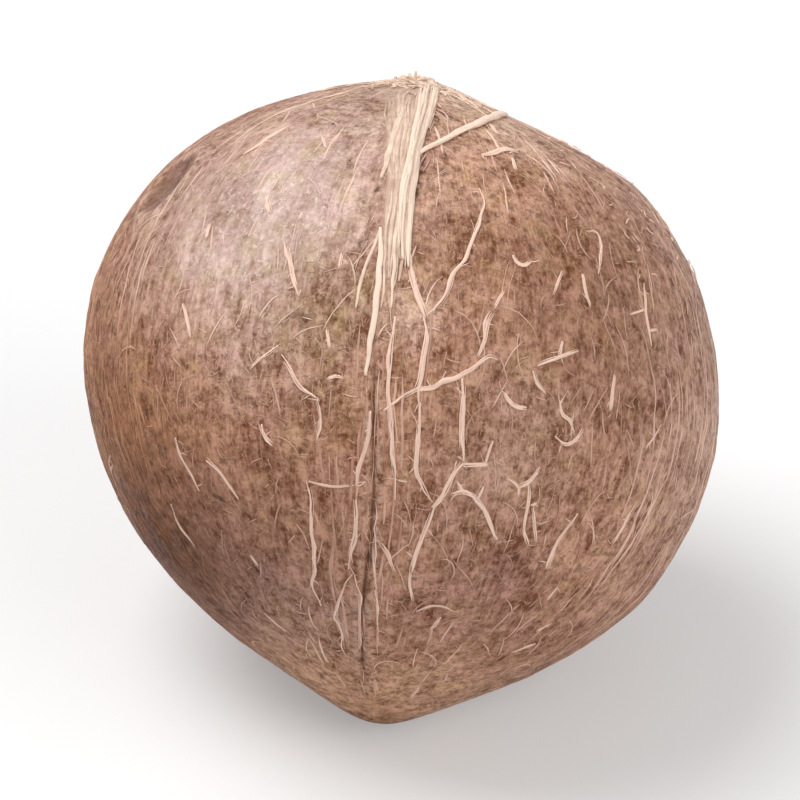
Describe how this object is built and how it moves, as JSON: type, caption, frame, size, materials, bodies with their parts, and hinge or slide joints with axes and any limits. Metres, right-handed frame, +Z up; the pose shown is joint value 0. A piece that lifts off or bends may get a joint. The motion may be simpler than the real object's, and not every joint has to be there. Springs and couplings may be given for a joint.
{
  "type": "coquito nut",
  "caption": "Whole palm nut: a round brown woody shell with a blunt point, a knot, low ridges, germ pores and pale husk fibres, resting on a small flat spot.",
  "frame": {"origin": "on the flat resting spot, straight below the middle of the nut", "axes": "+Z up as the nut lies; its blunt point is low at the front (-Y), its knot is high at the back, its best ridge faces -Y, +X is to the right"},
  "size_m": [0.0242, 0.0239, 0.0236],
  "materials": {
    "shell": "dry woody shell, matt with a faint waxy bloom",
    "husk_fibre": "dry pale plant fibre, matt"
  },
  "bodies": {
    "root": {"coquito_nut": "shell"}
  },
  "joints": []
}
